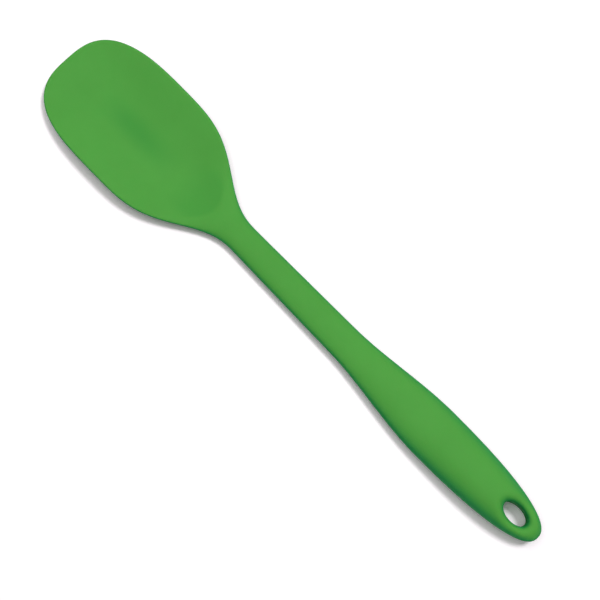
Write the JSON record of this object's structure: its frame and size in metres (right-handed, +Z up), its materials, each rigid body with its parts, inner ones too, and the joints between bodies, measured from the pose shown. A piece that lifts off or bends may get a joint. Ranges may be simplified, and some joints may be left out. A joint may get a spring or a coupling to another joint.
{
  "type": "silicone spoon",
  "caption": "Silicone kitchen spoon with a shallow blunt-tipped bowl, a slim shaft, a swelling grip and an oval hanging hole, moulded over a stiff nylon core.",
  "frame": {"origin": "middle of the spoon's length and width, on the surface it lies on", "axes": "+X from the bowl towards the hanging hole, +Z up, out of the bowl's hollow"},
  "size_m": [0.27, 0.0506, 0.016],
  "materials": {
    "silicone": "satin",
    "nylon": "matte"
  },
  "bodies": {
    "root": {"silicone_skin": "silicone", "nylon_core": "nylon", "pin_plug_bowl_left": "silicone", "pin_plug_bowl_right": "silicone", "pin_plug_heel": "silicone", "pin_plug_shaft": "silicone", "pin_plug_grip_front": "silicone", "pin_plug_grip_rear": "silicone"}
  },
  "joints": []
}
